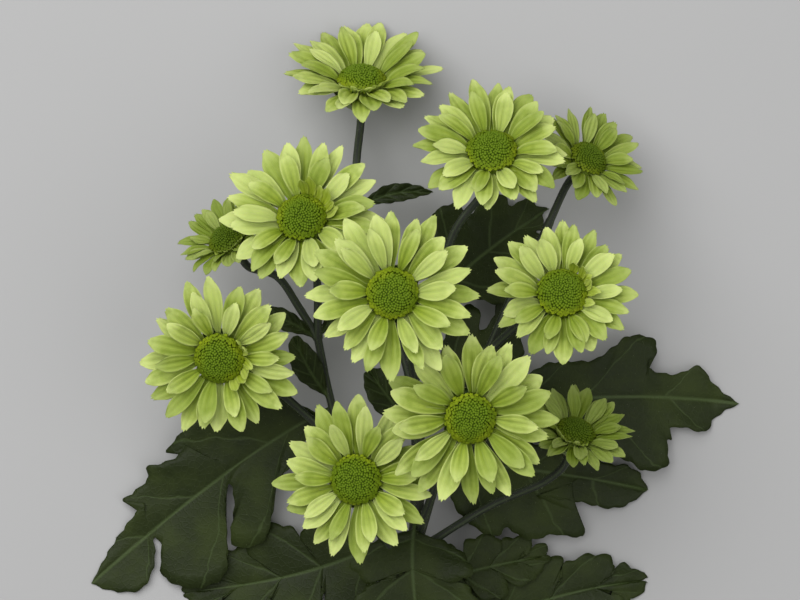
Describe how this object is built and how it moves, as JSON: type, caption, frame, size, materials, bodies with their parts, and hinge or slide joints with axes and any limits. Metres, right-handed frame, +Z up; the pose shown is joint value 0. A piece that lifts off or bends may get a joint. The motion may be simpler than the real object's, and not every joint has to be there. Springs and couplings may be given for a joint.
{
  "type": "green lizard chrysanthemum",
  "caption": "Cut spray of a green daisy-type chrysanthemum lying on its back: branched stem, lobed dark leaves and lime green blooms with domed discs.",
  "frame": {"origin": "middle of the box round the lying spray, at the level of the surface that it lies on", "axes": "+Z up, away from the surface, the way most of the blooms look; +Y along the stem, from its cut end to the top bloom; +X to the right as seen from above"},
  "size_m": [0.256, 0.3719, 0.1057],
  "materials": {
    "petal": "satin, lime green with paler edges and deeper green at the base",
    "disc": "matte, fine green florets with a yellow green rim",
    "calyx": "matte mid green bracts with paler edges",
    "stem": "satin dark green, ridged and finely hairy",
    "leaf": "matte dark green with paler veins"
  },
  "bodies": {
    "root": {"bloom_01_rays": "petal", "bloom_01_disc": "disc", "bloom_01_calyx": "calyx", "bloom_02_rays": "petal", "bloom_02_disc": "disc", "bloom_02_calyx": "calyx", "bloom_03_rays": "petal", "bloom_03_disc": "disc", "bloom_03_calyx": "calyx", "bloom_04_rays": "petal", "bloom_04_disc": "disc", "bloom_04_calyx": "calyx", "bloom_05_rays": "petal", "bloom_05_disc": "disc", "bloom_05_calyx": "calyx", "bloom_06_rays": "petal", "bloom_06_disc": "disc", "bloom_06_calyx": "calyx", "bloom_07_rays": "petal", "bloom_07_disc": "disc", "bloom_07_calyx": "calyx", "bloom_08_rays": "petal", "bloom_08_disc": "disc", "bloom_08_calyx": "calyx", "bloom_09_rays": "petal", "bloom_09_disc": "disc", "bloom_09_calyx": "calyx", "bloom_10_rays": "petal", "bloom_10_disc": "disc", "bloom_10_calyx": "calyx", "bloom_11_rays": "petal", "bloom_11_disc": "disc", "bloom_11_calyx": "calyx", "stem": "stem", "leaf_01": "leaf", "leaf_02": "leaf", "leaf_03": "leaf", "leaf_04": "leaf", "leaf_05": "leaf", "leaf_06": "leaf", "leaf_07": "leaf", "leaf_08": "leaf", "leaf_09": "leaf", "leaf_10": "leaf", "leaf_11": "leaf", "bract_01": "leaf", "bract_02": "leaf", "bract_03": "leaf", "bract_04": "leaf", "bract_05": "leaf"}
  },
  "joints": []
}
